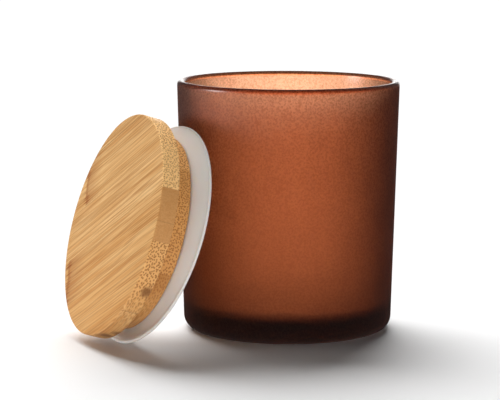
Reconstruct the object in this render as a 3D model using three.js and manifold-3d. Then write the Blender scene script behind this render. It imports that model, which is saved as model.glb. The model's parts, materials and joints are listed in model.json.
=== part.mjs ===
// Empty candle jar: a tapered glass tumbler with its bamboo lid leaning on its left side.
// The lid is glued up from bamboo staves in three plies, and a silicone ring grips its plug.
// Millimetres, +Z up. The origin is the centre of the tumbler's foot, on the table.
import * as THREE from "three";
import { mergeVertices } from "three/addons/utils/BufferGeometryUtils.js";
import Module from "manifold-3d";

const wasm = await Module();
wasm.setup();

// ---- Driving dimensions: the tumbler ----
const JAR_HEIGHT = 90;
const JAR_RIM_RADIUS = 40; // outside, where the side's line reaches the rim
const JAR_FOOT_RADIUS = 37.4; // outside, where the side's line reaches the table
const JAR_WALL = 2.8; // also the width of the fully rounded lip
const JAR_FLOOR = 8; // thickness of the glass under the inside
const JAR_FOOT_CORNER = 5; // rounding between the side and the foot
const JAR_FLOOR_CORNER = 4; // rounding between the inside and the floor

// ---- Driving dimensions: the lid ----
const LID_OVERHANG = -0.3; // the top ply's radius beyond the tumbler's rim
const PLUG_CLEARANCE = 2.5; // between the plug and the inside of the mouth
const KEEPER_STEP = 1; // the keeper ply's edge inside the plug's
const TOP_PLY = 6.4; // ply thicknesses
const PLUG_PLY = 6.5;
const KEEPER_PLY = 5.8;
const FACE_ROUND = 0.6; // softened edges of the plies
const BACK_ROUND = 0.4;
const STAVE_WIDTH = 18;
const TOP_JOINT = -1.2; // where one joint of each ply lies, across the grain from the centre
const PLUG_JOINT = -7.2;
const KEEPER_JOINT = 1.8;
const GRAIN_ANGLE = 29; // degrees, from the level on the leaning face
const GLUE_LINE = 0.3; // gap that stands for the glue between staves and plies

// ---- Driving dimensions: the seal ring ----
const GROOVE_DEPTH = 1.4; // cut into the keeper ply
const HEEL_HEIGHT = 3.1; // the part of the ring inside the groove
const SEAL_CLEARANCE = 0.3; // round the heel
const SEAL_SQUEEZE = 1.2; // how much wider the lip is than the mouth, in radius
const LIP_BEAD = 0.7; // radius of the lip's bead
const LIP_DROP = 4.6; // how far the lip lies behind the plug ply
const FLANGE_ROOT = 0.4; // the flange's front root, outside the heel's back corner
const BEAD_BACK_ANGLE = -108; // degrees round the bead, where the flange's back meets it
const BEAD_FRONT_ANGLE = 63; // and where the flange's front does

// ---- Driving dimensions: how the lid stands ----
const LEAN_ANGLE = 17; // degrees from upright
const FACE_AZIMUTH = 204; // degrees, the way that the lid's face looks, from +X
const SIDE_STEP = 2.9; // from the lid's axis to the tumbler's axis, seen from above
const LEAN_GAP = 0.3; // between the seal's lip and the glass

// ---- Mesh fineness ----
const ROUND_STEPS = 72;
const ARC_STEPS = 6;
const EDGE_STEPS = 3;
const MERGE_DISTANCE = 1e-4; // closer vertices are one

// ---- Derived values ----
const taper = Math.atan2(JAR_RIM_RADIUS - JAR_FOOT_RADIUS, JAR_HEIGHT);
const lean = THREE.MathUtils.degToRad(LEAN_ANGLE);
const mouthRadius = JAR_RIM_RADIUS - JAR_WALL / Math.cos(taper);
const lidRadius = JAR_RIM_RADIUS + LID_OVERHANG;
const plugRadius = mouthRadius - PLUG_CLEARANCE;
const keeperRadius = plugRadius - KEEPER_STEP;
const lipRadius = mouthRadius + SEAL_SQUEEZE;
const plugTop = -(TOP_PLY + GLUE_LINE); // heights in the lid's frame, whose face is at 0
const plugBack = plugTop - PLUG_PLY;
const keeperTop = plugBack - GLUE_LINE;
const keeperBack = keeperTop - KEEPER_PLY;
const grooveRadius = keeperRadius - GROOVE_DEPTH;
const heelTop = plugBack - SEAL_CLEARANCE;
const heelBack = heelTop - HEEL_HEIGHT;
const beadRadius = lipRadius - LIP_BEAD; // centre of the bead, from the lid's axis
const beadHeight = plugBack - LIP_DROP;

const glass = new THREE.MeshStandardMaterial({ color: 0x9c5f40, roughness: 0.35, metalness: 0 });
const bambooFace = new THREE.MeshStandardMaterial({ color: 0xe0b078, roughness: 0.55, metalness: 0 });
const bambooPlug = new THREE.MeshStandardMaterial({ color: 0xc08c54, roughness: 0.6, metalness: 0 });
const silicone = new THREE.MeshStandardMaterial({ color: 0xd6cac0, roughness: 0.4, metalness: 0 });

// ---- Profile helpers: points are (radius, height) ----
function arc(centreR, centreZ, radius, fromAngle, toAngle, steps) {
  const points = [];
  for (let i = 0; i <= steps; i += 1) {
    const angle = fromAngle + ((toAngle - fromAngle) * i) / steps;
    points.push(new THREE.Vector2(centreR + radius * Math.cos(angle), centreZ + radius * Math.sin(angle)));
  }
  return points;
}

function bend(start, control, end, steps) {
  return new THREE.QuadraticBezierCurve(start, control, end).getPoints(steps);
}

function turned(profile) {
  const geometry = new THREE.LatheGeometry(profile, ROUND_STEPS);
  return geometry.rotateX(Math.PI / 2);
}

// ---- Solids for boolean work ----
function toSolid(geometry) {
  const bare = geometry.clone();
  bare.deleteAttribute("normal");
  bare.deleteAttribute("uv");
  const merged = mergeVertices(bare, MERGE_DISTANCE);
  const corners = merged.index.array;
  const kept = [];
  for (let i = 0; i < corners.length; i += 3) {
    const [a, b, c] = [corners[i], corners[i + 1], corners[i + 2]];
    if (a !== b && b !== c && c !== a) kept.push(a, b, c);
  }
  const vertProperties = new Float32Array(merged.attributes.position.array);
  const triVerts = new Uint32Array(kept);
  return new wasm.Manifold(new wasm.Mesh({ numProp: 3, vertProperties, triVerts }));
}

function toGeometry(solid) {
  const { vertProperties, triVerts } = solid.getMesh();
  const geometry = new THREE.BufferGeometry();
  geometry.setAttribute("position", new THREE.BufferAttribute(vertProperties, 3));
  geometry.setIndex(new THREE.BufferAttribute(triVerts, 1));
  geometry.computeVertexNormals();
  return geometry;
}

function namedMesh(name, geometry, material) {
  const mesh = new THREE.Mesh(geometry, material);
  mesh.name = name;
  return mesh;
}

// ---- The tumbler ----
function jarWallRadius(height) {
  return JAR_FOOT_RADIUS + height * Math.tan(taper);
}

// Centre radius of a rounding that touches the outer side, moved inward by a depth of glass.
function roundingCentre(height, depth, radius) {
  return jarWallRadius(height) - (depth + radius) / Math.cos(taper);
}

function jarProfile() {
  const lip = JAR_WALL / 2;
  const lipHeight = JAR_HEIGHT - lip;
  const insideHeight = JAR_FLOOR + JAR_FLOOR_CORNER;
  const foot = roundingCentre(JAR_FOOT_CORNER, 0, JAR_FOOT_CORNER);
  const rim = roundingCentre(lipHeight, 0, lip);
  const inside = roundingCentre(insideHeight, JAR_WALL, JAR_FLOOR_CORNER);
  const level = -Math.PI / 2;
  return [
    new THREE.Vector2(0, 0),
    ...arc(foot, JAR_FOOT_CORNER, JAR_FOOT_CORNER, level, -taper, ARC_STEPS),
    ...arc(rim, lipHeight, lip, -taper, Math.PI - taper, ARC_STEPS),
    ...arc(inside, insideHeight, JAR_FLOOR_CORNER, -taper, level, ARC_STEPS),
    new THREE.Vector2(0, JAR_FLOOR),
  ];
}

// ---- The lid, in its own frame: axis +Z, face at height 0, plug downward ----
function plyProfile(radius, top, back, topRound, backRound) {
  return [
    new THREE.Vector2(0, back),
    ...arc(radius - backRound, back + backRound, backRound, -Math.PI / 2, 0, EDGE_STEPS),
    ...arc(radius - topRound, top - topRound, topRound, 0, Math.PI / 2, EDGE_STEPS),
    new THREE.Vector2(0, top),
  ];
}

function keeperProfile() {
  const grooveBack = heelBack - SEAL_CLEARANCE;
  return [
    new THREE.Vector2(0, keeperBack),
    ...arc(keeperRadius - BACK_ROUND, keeperBack + BACK_ROUND, BACK_ROUND, -Math.PI / 2, 0, EDGE_STEPS),
    new THREE.Vector2(keeperRadius, grooveBack),
    new THREE.Vector2(grooveRadius, grooveBack),
    new THREE.Vector2(grooveRadius, keeperTop),
    new THREE.Vector2(0, keeperTop),
  ];
}

// The places of the joints across one ply, from its first edge to its last.
function jointLines(radius, oneJoint) {
  const first = oneJoint - Math.floor((oneJoint + radius) / STAVE_WIDTH) * STAVE_WIDTH;
  const lines = [-radius];
  for (let line = first; line < radius; line += STAVE_WIDTH) {
    if (line > -radius) lines.push(line);
  }
  lines.push(radius);
  return lines;
}

// Cuts one turned ply into staves that run along +X.
function staves(name, profile, radius, oneJoint, material) {
  const ply = toSolid(turned(profile));
  const lines = jointLines(radius, oneJoint);
  const reach = 4 * radius; // longer and taller than the ply
  return lines.slice(1).map((line, i) => {
    const isFirst = i === 0;
    const isLast = i === lines.length - 2;
    const low = isFirst ? -reach : lines[i] + GLUE_LINE / 2;
    const high = isLast ? reach : line - GLUE_LINE / 2;
    const strip = new THREE.BoxGeometry(reach, high - low, reach).translate(0, (low + high) / 2, 0);
    const cut = ply.intersect(toSolid(strip));
    return namedMesh(`${name}_${i + 1}`, toGeometry(cut), material);
  });
}

function sealProfile() {
  const heelInside = grooveRadius + SEAL_CLEARANCE;
  const heelOutside = keeperRadius + SEAL_CLEARANCE;
  const shoulder = heelOutside + FLANGE_ROOT;
  const beadFrom = THREE.MathUtils.degToRad(BEAD_BACK_ANGLE);
  const beadTo = THREE.MathUtils.degToRad(BEAD_FRONT_ANGLE);
  const bead = arc(beadRadius, beadHeight, LIP_BEAD, beadFrom, beadTo, ARC_STEPS);
  const backStart = new THREE.Vector2(heelOutside, heelBack);
  const backBend = new THREE.Vector2((heelOutside + beadRadius) / 2, heelBack + LIP_BEAD);
  const frontEnd = new THREE.Vector2(shoulder, heelTop);
  const frontBend = new THREE.Vector2((shoulder + 2 * beadRadius) / 3, heelTop);
  return [
    new THREE.Vector2(heelInside, heelBack),
    ...bend(backStart, backBend, bead[0], EDGE_STEPS).slice(0, -1),
    ...bead,
    ...bend(bead[ARC_STEPS], frontBend, frontEnd, ARC_STEPS).slice(1),
    new THREE.Vector2(heelInside, heelTop),
    new THREE.Vector2(heelInside, heelBack),
  ];
}

function buildLid() {
  const topProfile = plyProfile(lidRadius, 0, -TOP_PLY, FACE_ROUND, BACK_ROUND);
  const plugProfile = plyProfile(plugRadius, plugTop, plugBack, BACK_ROUND, BACK_ROUND);
  const lid = new THREE.Group();
  lid.add(...staves("lid_top_stave", topProfile, lidRadius, TOP_JOINT, bambooFace));
  lid.add(...staves("lid_plug_stave", plugProfile, plugRadius, PLUG_JOINT, bambooPlug));
  lid.add(...staves("lid_keeper_stave", keeperProfile(), keeperRadius, KEEPER_JOINT, bambooPlug));
  lid.add(namedMesh("seal_ring", turned(sealProfile()), silicone));
  return lid;
}

// ---- How the lid stands ----
// The seal's lip is on the table at its lowest point and LEAN_GAP from the glass at its highest.
function leaningPlace() {
  const faceHeight = beadRadius * Math.cos(lean) - beadHeight * Math.sin(lean) + LIP_BEAD;
  const touchHeight = faceHeight + beadHeight * Math.sin(lean) + beadRadius * Math.cos(lean);
  const touchRadius = jarWallRadius(touchHeight) + (LIP_BEAD + LEAN_GAP) / Math.cos(taper);
  const touchAlong = Math.sqrt(touchRadius ** 2 - SIDE_STEP ** 2);
  const faceAlong = touchAlong - beadHeight * Math.cos(lean) + beadRadius * Math.sin(lean);
  return new THREE.Vector3(faceAlong, SIDE_STEP, faceHeight);
}

function standLid(lid) {
  lid.rotation.z = Math.PI / 2 + THREE.MathUtils.degToRad(GRAIN_ANGLE);
  const leaning = new THREE.Group();
  leaning.add(lid);
  leaning.rotation.y = Math.PI / 2 - lean;
  leaning.position.copy(leaningPlace());
  const facing = new THREE.Group();
  facing.add(leaning);
  facing.rotation.z = THREE.MathUtils.degToRad(FACE_AZIMUTH);
  return facing;
}

const candleJar = new THREE.Group();
candleJar.add(namedMesh("glass_jar", turned(jarProfile()), glass));
candleJar.add(standLid(buildLid()));

export default candleJar;
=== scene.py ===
import json
import math
import random

import bmesh
import bpy
from mathutils import Matrix, Vector


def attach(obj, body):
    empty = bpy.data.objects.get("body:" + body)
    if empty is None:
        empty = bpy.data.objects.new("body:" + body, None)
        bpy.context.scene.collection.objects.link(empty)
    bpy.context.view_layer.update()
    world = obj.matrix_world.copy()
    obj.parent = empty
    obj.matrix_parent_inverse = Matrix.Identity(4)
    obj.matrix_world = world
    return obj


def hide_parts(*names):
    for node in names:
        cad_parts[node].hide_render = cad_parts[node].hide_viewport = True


# The empty candle jar: a frosted amber tumbler, with its bamboo lid leaning on it.
# Metres, +Z up. The origin is the centre of the tumbler's foot, on the table.

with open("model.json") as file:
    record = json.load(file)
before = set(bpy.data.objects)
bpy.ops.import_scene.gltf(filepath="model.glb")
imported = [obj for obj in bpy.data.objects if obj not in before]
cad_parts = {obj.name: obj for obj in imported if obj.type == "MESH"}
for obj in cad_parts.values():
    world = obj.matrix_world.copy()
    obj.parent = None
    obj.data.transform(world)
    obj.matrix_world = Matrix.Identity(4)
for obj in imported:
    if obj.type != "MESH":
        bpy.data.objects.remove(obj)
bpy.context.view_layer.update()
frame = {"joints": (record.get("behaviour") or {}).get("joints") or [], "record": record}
random.seed(11)

MM = 0.001

# ---- The tumbler's driving dimensions ----
JAR_HEIGHT = 90 * MM
JAR_RIM_RADIUS = 40 * MM
JAR_FOOT_RADIUS = 37.4 * MM
JAR_WALL = 2.8 * MM
JAR_FLOOR = 8 * MM
JAR_FOOT_CORNER = 5 * MM
JAR_FLOOR_CORNER = 4 * MM
FROST_TOP = JAR_HEIGHT - 1.7 * MM  # the frosting ends here, and the lip above it is clear

# ---- The lid's driving dimensions, with heights in its own frame, whose face is at 0 ----
LID_RADIUS = 39.7 * MM
PLUG_RADIUS = 34.7 * MM
KEEPER_RADIUS = 33.7 * MM
GROOVE_RADIUS = 32.3 * MM
TOP_BACK = -6.4 * MM
PLUG_BACK = -13.2 * MM
KEEPER_BACK = -19.3 * MM
GROOVE_BACK = -16.9 * MM
PLY_LINE = 0.04 * MM  # what shows of the glue between two plies
STAVE_LINE = 0.05 * MM  # and between two staves
FACE_ROUND = 0.6 * MM
BACK_ROUND = 0.4 * MM
TOP_JOINTS = [-37.2, -19.2, -1.2, 16.8, 34.8]  # mm across the grain
PLUG_JOINTS = [-25.2, -7.2, 10.8, 28.8]
KEEPER_JOINTS = [-16.2, 1.8, 19.8]
GRAIN_ANGLE = math.radians(29)

# ---- The seal's dimensions ----
SEAL_INSIDE = 32.6 * MM
SEAL_ROOT = 34.0 * MM
SEAL_TOP = -13.5 * MM
SEAL_HEEL = -16.6 * MM
LIP_RADIUS = 39.7 * MM  # the lip's outline, flexed by the table and the glass
LIP_HEIGHT = -15.3 * MM
LIP_BEAD = 0.6 * MM
BEAD_TURN = 0.72 * math.pi  # how far the bead goes round to each side of its outermost point
FLANGE_HALF = 0.42 * MM  # half the flange's thickness, near its lip
ROOT_SWELL = 1.3 * MM  # and what it gains towards its root
FLANGE_BEND = (0.55, 0.1)  # where its curve turns, as shares of its reach and of its fall
SHOULDER = 0.3 * MM
LIP_TILT_UP = -0.0495  # how the flexed lip tilts, against the lean's upward direction
LIP_TILT_SIDE = -0.052  # and against its level direction

# ---- Mesh fineness ----
ROUND_STEPS = 288
CORNER_STEPS = 14
EDGE_STEPS = 5
WALL_STEPS = 16
FLAT_STEPS = 6
FLANGE_STEPS = 10
BEAD_STEPS = 12
FLOOR_STEPS = 64
ON_AXIS = 1e-7  # a point nearer the axis than this lies on it

QUARTER = math.pi / 2
WHITE = (1, 1, 1, 1)


# ---- Mesh helpers ----
def arc(centre_r, centre_z, radius, start, end, steps):
    """Points (radius, height) along an arc of a profile."""
    points = []
    for i in range(steps + 1):
        angle = start + (end - start) * i / steps
        points.append((centre_r + radius * math.cos(angle), centre_z + radius * math.sin(angle)))
    return points


def straight(start, end, steps):
    """The points between two ends of a straight stretch, without the ends."""
    points = []
    for i in range(1, steps):
        share = i / steps
        points.append(tuple(a + (b - a) * share for a, b in zip(start, end)))
    return points


def turn(bm, profile):
    """Turns a profile round Z. Its points on the axis become one vertex each."""
    rings = []
    for radius, height in profile:
        if radius < ON_AXIS:
            rings.append([bm.verts.new((0, 0, height))] * ROUND_STEPS)
            continue
        ring = []
        for i in range(ROUND_STEPS):
            angle = 2 * math.pi * i / ROUND_STEPS
            ring.append(bm.verts.new((radius * math.cos(angle), radius * math.sin(angle), height)))
        rings.append(ring)
    join_rings(bm, rings)


def join_rings(bm, rings, closed=False):
    """Joins neighbouring rings with faces. closed also joins the last ring to the first."""
    pairs = list(zip(rings, rings[1:]))
    if closed:
        pairs.append((rings[-1], rings[0]))
    for ring, following in pairs:
        count = len(ring)
        for i in range(count):
            j = (i + 1) % count
            corners = []
            for corner in (ring[i], ring[j], following[j], following[i]):
                if corner not in corners:
                    corners.append(corner)
            if len(corners) > 2:
                bm.faces.new(corners)
    bmesh.ops.recalc_face_normals(bm, faces=bm.faces[:])


def made_object(name, bm, materials, sharp_angle=None):
    """A smooth-shaded object of the mesh, with its edges sharp past an angle."""
    mesh = bpy.data.meshes.new(name)
    bm.to_mesh(mesh)
    bm.free()
    for material in materials:
        mesh.materials.append(material)
    mesh.polygons.foreach_set("use_smooth", [True] * len(mesh.polygons))
    if sharp_angle is not None:
        mesh.set_sharp_from_angle(angle=sharp_angle)
    made = bpy.data.objects.new(name, mesh)
    bpy.context.scene.collection.objects.link(made)
    return made


# ---- Material helpers ----
class Shader:
    """Builds one material's nodes."""

    def __init__(self, name):
        self.material = bpy.data.materials.new(name)
        self.material.use_nodes = True
        self.tree = self.material.node_tree
        self.tree.nodes.clear()
        self.output = self.add("OutputMaterial")

    def add(self, kind, inputs=None, **settings):
        """Adds a node, sets its properties and feeds its inputs, by name or by number."""
        made = self.tree.nodes.new("ShaderNode" + kind)
        for key, value in settings.items():
            setattr(made, key, value)
        for key, value in (inputs or {}).items():
            self.feed(made.inputs[key], value)
        return made

    def feed(self, socket, value):
        """Gives a socket a link from another socket, or else a plain value."""
        if isinstance(value, bpy.types.NodeSocket):
            self.tree.links.new(value, socket)
        else:
            socket.default_value = value

    def position(self):
        return self.add("TexCoord").outputs["Object"]

    def placed(self, place):
        """Object coordinates in the frame of a rigid place."""
        inputs = {"Vector": self.position(), "Location": place.translation, "Rotation": place.to_euler()}
        return self.add("Mapping", inputs, vector_type="TEXTURE").outputs["Vector"]

    def mapped(self, vector, scale=(1, 1, 1), shift=(0, 0, 0)):
        inputs = {"Vector": vector, "Scale": scale, "Location": shift}
        return self.add("Mapping", inputs).outputs["Vector"]

    def noise(self, vector, scale, detail=2, roughness=0.5):
        inputs = {"Vector": vector, "Scale": scale, "Detail": detail, "Roughness": roughness}
        return self.add("TexNoise", inputs).outputs["Fac"]

    def maths(self, operation, *values):
        made = self.add("Math", operation=operation)
        for socket, value in zip(made.inputs, values):
            self.feed(socket, value)
        return made.outputs["Value"]

    def ranged(self, value, low, high, to_low=0, to_high=1, smooth=True):
        """Maps low..high to to_low..to_high, held at both ends."""
        kind = "SMOOTHSTEP" if smooth else "LINEAR"
        inputs = {"Value": value, "From Min": low, "From Max": high}
        inputs.update({"To Min": to_low, "To Max": to_high})
        return self.add("MapRange", inputs, interpolation_type=kind).outputs["Result"]

    def mix(self, factor, first, second):
        """A colour between two, first where the factor is 0 and second where it is 1."""
        made = self.add("Mix", data_type="RGBA")
        self.feed(made.inputs[0], factor)
        self.feed(made.inputs[6], first)
        self.feed(made.inputs[7], second)
        return made.outputs[2]

    def bump(self, height, strength, distance):
        inputs = {"Height": height, "Strength": strength, "Distance": distance}
        return self.add("Bump", inputs).outputs["Normal"]

    def surface(self, inputs):
        """Ends the material with one Principled shader."""
        made = self.add("BsdfPrincipled", inputs)
        self.feed(self.output.inputs["Surface"], made.outputs["BSDF"])
        return self.material


# ---- The glass ----
GLASS_IOR = 1.5
AMBER = (0.45, 0.2, 0.05, 1)  # what the glass itself lets through
AMBER_DENSITY = 170  # per metre
COAT_DARK = (0.51, 0.123, 0.038, 1)  # the coat's grain, which light crosses on its way in or out
COAT_LIGHT = (0.98, 0.39, 0.17, 1)
FROST_ROUGHNESS = 0.7
LIP_ROUGHNESS = 0.3
INSIDE_ROUGHNESS = 0.22
SPECKLE = 0.07  # how far the frosting's roughness varies from grain to grain
WEAR = 0.03  # and from patch to patch
FROST_SCALE = 1400  # of the noise that makes the grain, per metre
WEAR_SCALE = 160
FOOT_CONTRAST = 0.42  # the coat's grain near the foot, where it is 1 at the rim
FROST_DEPTH = 0.05 * MM
FROST_EDGE = 0.4 * MM  # half the width over which the frosting ends
WALL_BLEND = 0.3 * MM  # half the width over which the inside turns into the outside, within the wall
JAR_SLOPE = math.atan2(JAR_RIM_RADIUS - JAR_FOOT_RADIUS, JAR_HEIGHT)


def glass_masks(shader, position, height):
    """Two masks: 1 on the outside and underneath and 0 inside, and 1 below the clear lip."""
    level = shader.add("VectorMath", {0: position, 1: (1, 1, 0)}, operation="MULTIPLY")
    radius = shader.add("VectorMath", {0: level.outputs["Vector"]}, operation="LENGTH").outputs["Value"]
    middle = shader.maths("MULTIPLY_ADD", height, math.tan(JAR_SLOPE), JAR_FOOT_RADIUS - JAR_WALL / 2)
    beside = shader.ranged(shader.maths("SUBTRACT", radius, middle), -WALL_BLEND, WALL_BLEND)
    under = shader.ranged(height, 0.4 * JAR_FLOOR, 0.6 * JAR_FLOOR, 1, 0)
    below_lip = shader.ranged(height, FROST_TOP - FROST_EDGE, FROST_TOP + FROST_EDGE, 1, 0)
    return shader.maths("MAXIMUM", beside, under), below_lip


def glass_roughness(shader, position, fine, frosted, below_lip):
    """Rough where it is frosted, with a little wear, and smoother at the lip and inside."""
    speckle = shader.ranged(fine, 0.35, 0.65, -SPECKLE, SPECKLE)
    wear = shader.ranged(shader.noise(position, WEAR_SCALE), 0.3, 0.7, -WEAR, WEAR)
    frost = shader.maths("ADD", FROST_ROUGHNESS, shader.maths("ADD", speckle, wear))
    smooth = shader.ranged(below_lip, 0, 1, LIP_ROUGHNESS, INSIDE_ROUGHNESS, smooth=False)
    return shader.add("Mix", {"Factor": frosted, 2: smooth, 3: frost}, data_type="FLOAT").outputs[0]


def coat_colour(shader, fine, height):
    """The coat's dark and light grain, which is stronger towards the rim."""
    contrast = shader.ranged(height, 0.2 * JAR_HEIGHT, JAR_HEIGHT, FOOT_CONTRAST, 1, smooth=False)
    grain = shader.maths("SUBTRACT", shader.ranged(fine, 0.36, 0.64), 0.5)
    grain = shader.maths("MULTIPLY_ADD", grain, contrast, 0.5)
    return shader.mix(grain, COAT_DARK, COAT_LIGHT)


def amber_glass():
    """Amber glass with a frosted coat outside. The coat's colour is left off the inside alone."""
    shader = Shader("amber_glass")
    position = shader.position()
    height = shader.add("SeparateXYZ", {"Vector": position}).outputs["Z"]
    outside, below_lip = glass_masks(shader, position, height)
    frosted = shader.maths("MULTIPLY", outside, below_lip)
    uncoated = shader.maths("SUBTRACT", below_lip, frosted)
    fine = shader.noise(position, FROST_SCALE, 2, 0.6)
    material = shader.surface({
        "Base Color": shader.mix(uncoated, coat_colour(shader, fine, height), WHITE),
        "Roughness": glass_roughness(shader, position, fine, frosted, below_lip),
        "IOR": GLASS_IOR,
        "Transmission Weight": 1,
        "Normal": shader.bump(shader.maths("MULTIPLY", fine, frosted), 0.3, FROST_DEPTH),
    })
    volume = shader.add("VolumeAbsorption", {"Color": AMBER, "Density": AMBER_DENSITY})
    shader.feed(shader.output.inputs["Volume"], volume.outputs["Volume"])
    return material


def jar_profile():
    """The tumbler's section, from the middle of the foot out, up, over the lip and down inside."""
    slope = JAR_SLOPE

    def centre(height, depth, radius):
        """Where a rounding's centre lies so that it touches the side, depth inside it."""
        side = JAR_FOOT_RADIUS + height * math.tan(slope)
        return side - (depth + radius) / math.cos(slope)

    lip = JAR_WALL / 2
    lip_height = JAR_HEIGHT - lip
    inside_height = JAR_FLOOR + JAR_FLOOR_CORNER
    foot_centre = centre(JAR_FOOT_CORNER, 0, JAR_FOOT_CORNER)
    foot = arc(foot_centre, JAR_FOOT_CORNER, JAR_FOOT_CORNER, -QUARTER, -slope, CORNER_STEPS)
    lip_centre = centre(lip_height, 0, lip)
    rim = arc(lip_centre, lip_height, lip, -slope, math.pi - slope, 2 * CORNER_STEPS)
    inside_centre = centre(inside_height, JAR_WALL, JAR_FLOOR_CORNER)
    inside = arc(inside_centre, inside_height, JAR_FLOOR_CORNER, -slope, -QUARTER, CORNER_STEPS)
    share = (FROST_TOP - foot[-1][1]) / (rim[0][1] - foot[-1][1])
    frost_end = tuple(a + (b - a) * share for a, b in zip(foot[-1], rim[0]))
    under = [(0, 0)] + straight((0, 0), foot[0], FLAT_STEPS)
    outside = straight(foot[-1], frost_end, WALL_STEPS) + [frost_end]
    wall = straight(rim[-1], inside[0], WALL_STEPS)
    floor = straight(inside[-1], (0, JAR_FLOOR), FLAT_STEPS) + [(0, JAR_FLOOR)]
    return under + foot + outside + rim + wall + inside + floor


def build_jar():
    bm = bmesh.new()
    turn(bm, jar_profile())
    jar = made_object("glass_jar_look", bm, [amber_glass()])
    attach(jar, "jar")
    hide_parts("glass_jar")


# ---- The bamboo ----
class Stave:
    """How one stave looks. Places are in the lid's frame, in mm.

    tone: 0 light to 1 dark. dots: how strong the bundles are on its ends, 0 to 1.
    nodes: (place along the grain, length of the stain beside it, strength).
    dark_lines: (place across the grain, half width, strength).
    spots: (place along, place across, height, radius).
    """

    def __init__(self, tone, end_colour, dots=0.8, nodes=(), dark_lines=(), spots=()):
        self.tone = tone
        self.end_colour = end_colour
        self.dots = dots
        self.nodes = nodes
        self.dark_lines = dark_lines
        self.spots = spots


LIGHT_BAMBOO = (0.90, 0.59, 0.275, 1)
DARK_BAMBOO = (0.62, 0.32, 0.105, 1)
PALE_BAMBOO = (0.88, 0.62, 0.32, 1)
FIBRE_BROWN = (0.54, 0.23, 0.06, 1)
BUNDLE_BROWN = (0.33, 0.125, 0.03, 1)
NODE_BROWN = (0.30, 0.085, 0.018, 1)
LINE_BROWN = (0.22, 0.085, 0.025, 1)
# Painted light: the paler end colour of the top ply's upper staves, which lights the top of the lid's
# edge.
PAINTED_LIGHT_END = (1.0, 0.62, 0.26, 1)
PLAIN_END = (0.76, 0.40, 0.14, 1)
BROWN_END = (0.60, 0.285, 0.085, 1)
DEEP_END = (0.42, 0.175, 0.045, 1)
TAN_END = (0.54, 0.255, 0.085, 1)

BUNDLE_SCALE = 1350  # of the vascular bundles, which show as dots on the end grain, per metre
FIBRE_SCALE = (40, 2200, 2200)  # of each noise, along the grain and across it
STREAK_SCALE = (14, 850, 850)
BAND_SCALE = (7, 150, 150)
PATCH_SCALE = (45, 90, 90)
SWAY_SCALE = (22, 60, 60)
RIPPLE_SCALE = (0, 260, 260)
SWAY = 0.9 * MM  # how far the grain wanders across
RIPPLE = 1.3 * MM  # how far a node's line wanders along
GRAIN_DEPTH = 0.06 * MM
WOOD_SHARP = math.radians(35)  # an edge of a stave stays sharp past this angle


def bundle_dots(shader, shifted):
    """1 in the middle of each vascular bundle. The bundles run along the grain, swaying a little."""
    sway = shader.noise(shader.mapped(shifted, SWAY_SCALE), 1, 1)
    sway = shader.ranged(sway, 0, 1, -SWAY, SWAY, smooth=False)
    split = shader.add("SeparateXYZ", {"Vector": shifted})
    across = shader.maths("ADD", split.outputs["Y"], sway)
    deep = shader.maths("ADD", split.outputs["Z"], sway)
    section = shader.add("CombineXYZ", {"X": across, "Y": deep}).outputs["Vector"]
    cells = shader.add("TexVoronoi", {"Vector": section, "Scale": BUNDLE_SCALE}, voronoi_dimensions="2D")
    return shader.ranged(cells.outputs["Distance"], 0.2, 0.48, 1, 0)


def side_grain(shader, shifted, fibres, tone):
    """The colour along the grain: bands, pale patches, streaks and fine fibres."""
    streaks = shader.noise(shader.mapped(shifted, STREAK_SCALE), 1, 1)
    bands = shader.noise(shader.mapped(shifted, BAND_SCALE), 1)
    patches = shader.noise(shader.mapped(shifted, PATCH_SCALE), 1)
    colour = shader.mix(tone, LIGHT_BAMBOO, DARK_BAMBOO)
    colour = shader.mix(shader.ranged(bands, 0.35, 0.7, 0, 0.5), colour, DARK_BAMBOO)
    colour = shader.mix(shader.ranged(patches, 0.5, 0.8, 0, 0.3), colour, PALE_BAMBOO)
    colour = shader.mix(shader.ranged(streaks, 0.48, 0.62, 0, 0.5), colour, FIBRE_BROWN)
    return shader.mix(shader.ranged(fibres, 0.42, 0.6, 0, 0.5), colour, FIBRE_BROWN)


def end_grain(shader, colour, bundle, place, stave):
    """Adds the ends' colour, which is their own except on the top ply's upper staves, where a paler end
    colour is painted light, and the bundles, which are strong on the ends and faint elsewhere.
    """
    normal = shader.add("TexCoord").outputs["Normal"]
    along = place.col[0].to_3d()
    facing = shader.add("VectorMath", {0: normal, 1: along}, operation="DOT_PRODUCT")
    end = shader.ranged(shader.maths("ABSOLUTE", facing.outputs["Value"]), 0.25, 0.7)
    colour = shader.mix(shader.maths("MULTIPLY", end, 0.8), colour, stave.end_colour)
    strength = shader.ranged(end, 0, 1, 0.4, stave.dots, smooth=False)
    return shader.mix(shader.maths("MULTIPLY", bundle, strength), colour, BUNDLE_BROWN)


def node_marks(shader, colour, bundle, along, nodes):
    """Adds each node: a line across the grain, dots beside it and a stain that fades away on one side."""
    for node, fade, depth in nodes:
        offset = shader.maths("SUBTRACT", along, node * MM)
        distance = shader.maths("ABSOLUTE", offset)
        line = shader.ranged(distance, 0.3 * MM, 1.6 * MM, 0.65 * depth, 0)
        stain = shader.ranged(offset, 0, fade * MM, 0.45 * depth, 0, smooth=False)
        stain = shader.maths("MULTIPLY", stain, shader.maths("GREATER_THAN", offset, 0))
        near = shader.ranged(distance, 0.8 * MM, 4 * MM, depth, 0)
        dotted = shader.maths("MULTIPLY", near, bundle)
        mark = shader.maths("MAXIMUM", shader.maths("MAXIMUM", line, stain), dotted)
        colour = shader.mix(mark, colour, NODE_BROWN)
    return colour


def line_marks(shader, colour, across, lines):
    """Adds each dark line along the grain."""
    for line, half_width, depth in lines:
        offset = shader.maths("ABSOLUTE", shader.maths("SUBTRACT", across, line * MM))
        mark = shader.ranged(offset, 0.3 * half_width * MM, half_width * MM, depth, 0)
        colour = shader.mix(mark, colour, LINE_BROWN)
    return colour


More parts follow.
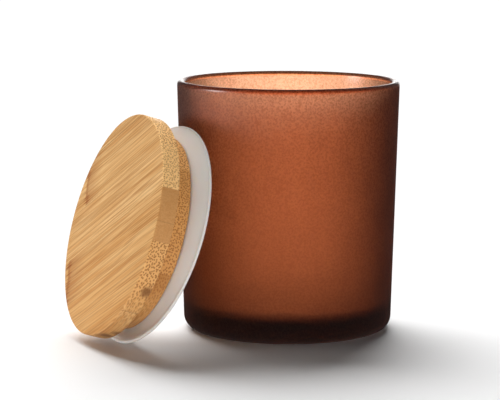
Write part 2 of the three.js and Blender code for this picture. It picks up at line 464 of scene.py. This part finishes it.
def spot_marks(shader, colour, position, ripple, spots):
    """Adds each dark spot, with an uneven edge."""
    for *spot, radius in spots:
        offset = shader.add("VectorMath", {0: position, 1: Vector(spot) * MM}, operation="DISTANCE")
        offset = shader.maths("ADD", offset.outputs["Value"], ripple)
        mark = shader.ranged(offset, 0.2 * radius * MM, radius * MM, 0.85, 0)
        colour = shader.mix(mark, colour, LINE_BROWN)
    return colour


def bamboo(name, place, stave, shift):
    """Bamboo with its grain along X of its place. shift gives each stave a grain of its own."""
    shader = Shader(name)
    position = shader.placed(place)
    shifted = shader.mapped(position, shift=shift)
    bundle = bundle_dots(shader, shifted)
    fibres = shader.noise(shader.mapped(shifted, FIBRE_SCALE), 1, 2, 0.6)
    colour = side_grain(shader, shifted, fibres, stave.tone)
    colour = end_grain(shader, colour, bundle, place, stave)

    plain = shader.add("SeparateXYZ", {"Vector": position})
    ripple = shader.noise(shader.mapped(position, RIPPLE_SCALE, shift), 1)
    ripple = shader.ranged(ripple, 0, 1, -RIPPLE, RIPPLE, smooth=False)
    along = shader.maths("ADD", plain.outputs["X"], ripple)
    colour = node_marks(shader, colour, bundle, along, stave.nodes)
    colour = line_marks(shader, colour, plain.outputs["Y"], stave.dark_lines)
    colour = spot_marks(shader, colour, position, ripple, stave.spots)

    relief = shader.maths("ADD", shader.maths("MULTIPLY", bundle, -0.6), fibres)
    return shader.surface({
        "Base Color": colour,
        "Roughness": shader.ranged(fibres, 0.2, 0.8, 0.42, 0.62),
        "Normal": shader.bump(relief, 0.35, GRAIN_DEPTH),
    })


def ply_profile(radius, top, back, top_round, back_round):
    """The section of a plain disc with rounded edges."""
    edge = arc(radius - back_round, back + back_round, back_round, -QUARTER, 0, EDGE_STEPS)
    edge += arc(radius - top_round, top - top_round, top_round, 0, QUARTER, EDGE_STEPS)
    return [(0, back)] + edge + [(0, top)]


def keeper_profile():
    """The section of the hidden ply that holds the seal, with its groove at the top."""
    top = PLUG_BACK - PLY_LINE
    edge = arc(KEEPER_RADIUS - BACK_ROUND, KEEPER_BACK + BACK_ROUND, BACK_ROUND, -QUARTER, 0, EDGE_STEPS)
    groove = [(KEEPER_RADIUS, GROOVE_BACK), (GROOVE_RADIUS, GROOVE_BACK), (GROOVE_RADIUS, top)]
    return [(0, KEEPER_BACK)] + edge + groove + [(0, top)]


def cut_side(bm, limit, side):
    """Cuts off what lies past a joint, on the side of +Y (1) or -Y (-1), and closes the cut."""
    everything = bm.verts[:] + bm.edges[:] + bm.faces[:]
    joint = (0, limit - side * STAVE_LINE / 2, 0)
    cut = bmesh.ops.bisect_plane(
        bm, geom=everything, plane_co=joint, plane_no=(0, side, 0), clear_outer=True,
    )
    rim = [edge for edge in cut["geom_cut"] if isinstance(edge, bmesh.types.BMEdge)]
    bmesh.ops.contextual_create(bm, geom=rim)


def build_ply(prefix, profile, joints, place, looks):
    """Cuts one turned ply into staves. looks gives each stave's look."""
    limits = [None] + [joint * MM for joint in joints] + [None]
    for i, look in enumerate(looks):
        bm = bmesh.new()
        turn(bm, profile)
        for limit, side in ((limits[i], -1), (limits[i + 1], 1)):
            if limit is not None:
                cut_side(bm, limit, side)
        bmesh.ops.recalc_face_normals(bm, faces=bm.faces[:])
        name = f"{prefix}_{i + 1}"
        shift = tuple(random.uniform(-1, 1) for _ in range(3))
        material = bamboo(name + "_bamboo", place, look, shift)
        bm.transform(place)
        stave = made_object(name + "_look", bm, [material], WOOD_SHARP)
        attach(stave, "lid")
        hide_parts(name)


# ---- The seal ----
SILICONE_DARK = (0.90, 0.82, 0.76, 1)
SILICONE_LIGHT = (0.94, 0.87, 0.81, 1)
SILICONE_IOR = 1.41
MOULD_SCALE = 1400  # of the mould's fine texture, per metre
MOULD_DEPTH = 0.05 * MM
CLOUD_SCALE = 90  # of the milky clouding
SEAL_SHARP = math.radians(50)


def silicone():
    """Milky translucent silicone with a faint mould texture."""
    shader = Shader("silicone")
    position = shader.position()
    fine = shader.noise(position, MOULD_SCALE)
    broad = shader.noise(position, CLOUD_SCALE)
    return shader.surface({
        "Base Color": shader.mix(broad, SILICONE_DARK, SILICONE_LIGHT),
        "Roughness": shader.ranged(fine, 0.3, 0.7, 0.32, 0.44),
        "IOR": SILICONE_IOR,
        "Transmission Weight": 0.15,
        "Subsurface Weight": 0.8,
        "Subsurface Radius": (1, 0.8, 0.65),
        "Subsurface Scale": 1.5 * MM,
        "Normal": shader.bump(fine, 0.15, MOULD_DEPTH),
    })


def flange_line(reach, lip_height):
    """The middle of the flange's section, curving from its root to the lip's bead."""
    root = (SEAL_ROOT, (SEAL_TOP + SEAL_HEEL) / 2)
    end = (reach, lip_height)
    bend = tuple(a + share * (b - a) for a, b, share in zip(root, end, FLANGE_BEND))
    line = []
    for i in range(FLANGE_STEPS + 1):
        t = i / FLANGE_STEPS
        weights = ((1 - t) ** 2, 2 * t * (1 - t), t * t)
        point = [sum(w * p[k] for w, p in zip(weights, (root, bend, end))) for k in (0, 1)]
        line.append(Vector(point))
    return line


def seal_section(lip_radius, lip_height):
    """The ring's section at one place round it, for a lip that lies at that radius and height."""
    reach = lip_radius - LIP_BEAD
    line = flange_line(reach, lip_height)
    back = []
    front = []
    for i in range(1, FLANGE_STEPS):
        ahead = line[i + 1] - line[i - 1]
        aside = Vector((-ahead.y, ahead.x)).normalized()
        half = ROOT_SWELL * (1 - i / FLANGE_STEPS) ** 2 + FLANGE_HALF
        back.append(tuple(line[i] - aside * half))
        front.append(tuple(line[i] + aside * half))
    ahead = line[-1] - line[-2]
    heading = math.atan2(ahead.y, ahead.x)
    bead = arc(reach, lip_height, LIP_BEAD, heading - BEAD_TURN, heading + BEAD_TURN, BEAD_STEPS)
    heel = [(SEAL_INSIDE, SEAL_TOP), (SEAL_INSIDE, SEAL_HEEL), (SEAL_ROOT, SEAL_HEEL)]
    return heel + back + bead + front[::-1] + [(SEAL_ROOT + SHOULDER, SEAL_TOP)]


def build_seal(place):
    """The ring, with its lip tilted round its outline as the table and the glass flex it."""
    upward = Vector((math.sin(GRAIN_ANGLE), math.cos(GRAIN_ANGLE)))
    level = Vector((math.cos(GRAIN_ANGLE), -math.sin(GRAIN_ANGLE)))
    bm = bmesh.new()
    sections = []
    for i in range(ROUND_STEPS):
        angle = 2 * math.pi * i / ROUND_STEPS
        way = Vector((math.cos(angle), math.sin(angle)))
        tilt = LIP_TILT_UP * way.dot(upward) + LIP_TILT_SIDE * way.dot(level)
        section = seal_section(LIP_RADIUS, LIP_HEIGHT + LIP_RADIUS * tilt)
        sections.append([bm.verts.new((way.x * r, way.y * r, z)) for r, z in section])
    join_rings(bm, sections, closed=True)
    bm.transform(place)
    seal = made_object("seal_ring_look", bm, [silicone()], SEAL_SHARP)
    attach(seal, "lid")
    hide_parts("seal_ring")


def lid_place():
    """The lid's own frame: X along the grain, Z out of the face, from its mount and its hinge."""
    mounts = {mount["name"]: mount for mount in frame["record"]["mounts"]}
    face = mounts["lid_face"]
    outward = Vector(face["axis"])
    level = Vector(frame["joints"][0]["axis"])
    upward = outward.cross(level)
    grain = level * math.cos(GRAIN_ANGLE) + upward * math.sin(GRAIN_ANGLE)
    axes = Matrix((grain, outward.cross(grain), outward)).transposed().to_4x4()
    return Matrix.Translation(face["pos_m"]) @ axes


# Each ply's staves, in the order of its joints.
TOP_LOOKS = [
    # Painted shade: the first two staves, lowest on the lid's face, are darker than their own tone, which
    # shades the lower part of the face.
    Stave(0.75, PLAIN_END, dark_lines=[(-37.2, 0.3, 0.3)],
          spots=[(-5.9, -39.3, -3.6, 3.5), (-1.0, -39.6, -5.6, 3.0)]),
    Stave(0.60, PLAIN_END, 0.9, spots=[(22.5, -32.7, -4.8, 3.0), (24.5, -30.0, -6.4, 1.6)]),
    Stave(0.45, TAN_END, 0.15, nodes=[(-35.5, 14, 0.95)], dark_lines=[(-13, 0.25, 0.25)]),
    # Painted light: the next three staves' ends get the paler end colour, which lights the top of the
    # lid's edge.
    Stave(0.15, PAINTED_LIGHT_END, 0.6),
    Stave(0.25, PAINTED_LIGHT_END, 0.8, nodes=[(-24.5, 12, 0.95)], dark_lines=[(34.8, 0.3, 0.3)]),
    Stave(0.35, PAINTED_LIGHT_END, dark_lines=[(34.8, 0.5, 0.5)]),
]
PLUG_LOOKS = [
    Stave(0.9, DEEP_END, 0.9),
    Stave(0.8, BROWN_END, 0.95),
    Stave(0.5, BROWN_END, 0.95),
    Stave(0.4, PLAIN_END, 0.95),
    Stave(0.6, BROWN_END, 0.95),
]
KEEPER_LOOKS = [
    Stave(0.5, PLAIN_END),
    Stave(0.35, TAN_END),
    Stave(0.6, PLAIN_END),
    Stave(0.45, PLAIN_END),
]


def build_lid():
    place = lid_place()
    top = ply_profile(LID_RADIUS, 0, TOP_BACK, FACE_ROUND, BACK_ROUND)
    plug = ply_profile(PLUG_RADIUS, TOP_BACK - PLY_LINE, PLUG_BACK, BACK_ROUND, BACK_ROUND)
    build_ply("lid_top_stave", top, TOP_JOINTS, place, TOP_LOOKS)
    build_ply("lid_plug_stave", plug, PLUG_JOINTS, place, PLUG_LOOKS)
    build_ply("lid_keeper_stave", keeper_profile(), KEEPER_JOINTS, place, KEEPER_LOOKS)
    build_seal(place)


# ---- The studio ----
FLOOR_RINGS = (0.07, 0.14, 0.22)  # metres
FLOOR_GREY = (0.86, 0.86, 0.86, 1)
FLOOR_PALE = (0.89, 0.89, 0.89, 1)
BACKDROP = 1.05  # how bright the surround is where the camera sees it
GLOW = 4.0  # how bright the part of it behind the jar is
DIM = 0.015  # and the rest of it
GLOW_WAY = (0.02, 1, 0.03)  # where the glow's middle is, seen from the jar
GLOW_EDGE = 0.962  # the cosine of the angle from there at which the glow starts
GLOW_FULL = 0.99  # and at which it is full
GLOSSY_EXTRA = 0.12  # what reflections see besides
GLASS_EXTRA = 0.09  # what is seen through the glass besides
CAMERA_PLACE = (0, -0.84702, 0.16446)
CAMERA_YAW = -0.01612  # radians
CAMERA_PITCH = -0.13853
CAMERA_ROLL = 0.00281
CAMERA_LENS = 170.26  # mm
CAMERA_SENSOR = 36  # mm


def build_floor():
    """A pale floor, which the glass neither mirrors nor shows through itself."""
    bm = bmesh.new()
    rings = [[bm.verts.new((0, 0, 0))] * FLOOR_STEPS]
    for radius in FLOOR_RINGS:
        ways = [2 * math.pi * i / FLOOR_STEPS for i in range(FLOOR_STEPS)]
        rings.append([bm.verts.new((radius * math.cos(a), radius * math.sin(a), 0)) for a in ways])
    join_rings(bm, rings)
    shader = Shader("pale_floor")
    colour = shader.mix(shader.noise(shader.position(), 9), FLOOR_GREY, FLOOR_PALE)
    material = shader.surface({"Base Color": colour, "Roughness": 0.7, "Specular IOR Level": 0.1})
    floor = made_object("floor", bm, [material])
    floor.visible_glossy = False
    floor.visible_transmission = False


def soft_light(name, azimuth, elevation, spread, strength):
    """A broad even light from far away, with its angles in degrees. Nothing glossy mirrors it.

    azimuth: 0 is behind the jar, and 90 to its left. spread: how wide the light looks.
    """
    data = bpy.data.lights.new(name, "SUN")
    data.angle = math.radians(spread)
    data.energy = strength
    light = bpy.data.objects.new(name, data)
    bpy.context.scene.collection.objects.link(light)
    turn_left = math.radians(azimuth)
    rise = math.radians(elevation)
    level = math.cos(rise)
    way = Vector((-math.sin(turn_left) * level, math.cos(turn_left) * level, math.sin(rise)))
    light.rotation_euler = way.to_track_quat("Z", "Y").to_euler()
    light.visible_glossy = False
    return light


def build_lights():
    """A key light from above and behind, and two low ones, from the left and from the front."""
    key = soft_light("key_light", azimuth=15, elevation=46, spread=54, strength=5.0)
    soft_light("left_light", azimuth=100, elevation=4, spread=16, strength=1.85)
    front = soft_light("front_light", azimuth=200, elevation=1.5, spread=16, strength=2.2)
    key.visible_transmission = False
    front.visible_transmission = False


def build_world():
    """A white surround, which lights the jar mostly from behind and stays dim to the sides."""
    world = bpy.data.worlds.new("studio")
    world.use_nodes = True
    bpy.context.scene.world = world
    tree = world.node_tree
    tree.nodes.clear()

    def add(kind, inputs=None, **settings):
        """Adds a node, and gives its inputs a link or a plain value."""
        made = tree.nodes.new("ShaderNode" + kind)
        for key, value in settings.items():
            setattr(made, key, value)
        for key, value in (inputs or {}).items():
            if isinstance(value, bpy.types.NodeSocket):
                tree.links.new(value, made.inputs[key])
            else:
                made.inputs[key].default_value = value
        return made

    direction = add("TexCoord").outputs["Generated"]
    middle = Vector(GLOW_WAY).normalized()
    facing = add("VectorMath", {0: direction, 1: middle}, operation="DOT_PRODUCT").outputs["Value"]
    limits = {"From Min": GLOW_EDGE, "From Max": GLOW_FULL, "To Min": DIM, "To Max": GLOW}
    light = add("MapRange", {"Value": facing, **limits}, interpolation_type="SMOOTHSTEP").outputs["Result"]
    ray = add("LightPath").outputs
    for kind, extra in (("Is Glossy Ray", GLOSSY_EXTRA), ("Is Transmission Ray", GLASS_EXTRA)):
        made = add("Math", {0: ray[kind], 1: extra, 2: light}, operation="MULTIPLY_ADD")
        light = made.outputs["Value"]
    surround = add("Background", {"Color": WHITE, "Strength": light})
    backdrop = add("Background", {"Color": WHITE, "Strength": BACKDROP})
    choice = add("MixShader", {0: ray["Is Camera Ray"], 1: surround.outputs[0], 2: backdrop.outputs[0]})
    add("OutputWorld", {"Surface": choice.outputs[0]})


def build_camera():
    """The camera, turned by its yaw and pitch and then rolled."""
    level = math.cos(CAMERA_PITCH)
    ahead = (math.sin(CAMERA_YAW) * level, math.cos(CAMERA_YAW) * level, math.sin(CAMERA_PITCH))
    forward = Vector(ahead)
    sideways = Vector((math.cos(CAMERA_YAW), -math.sin(CAMERA_YAW), 0))
    upright = sideways.cross(forward)
    right = sideways * math.cos(CAMERA_ROLL) + upright * math.sin(CAMERA_ROLL)
    up = upright * math.cos(CAMERA_ROLL) - sideways * math.sin(CAMERA_ROLL)
    axes = Matrix((right, up, -forward)).transposed().to_4x4()
    data = bpy.data.cameras.new("camera")
    data.lens = CAMERA_LENS
    data.sensor_width = CAMERA_SENSOR
    camera = bpy.data.objects.new("camera", data)
    camera.matrix_world = Matrix.Translation(CAMERA_PLACE) @ axes
    bpy.context.scene.collection.objects.link(camera)
    bpy.context.scene.camera = camera


def build_studio():
    build_camera()
    build_floor()
    build_world()
    build_lights()
    bpy.context.scene.view_settings.view_transform = "Standard"


build_studio()
build_jar()
build_lid()
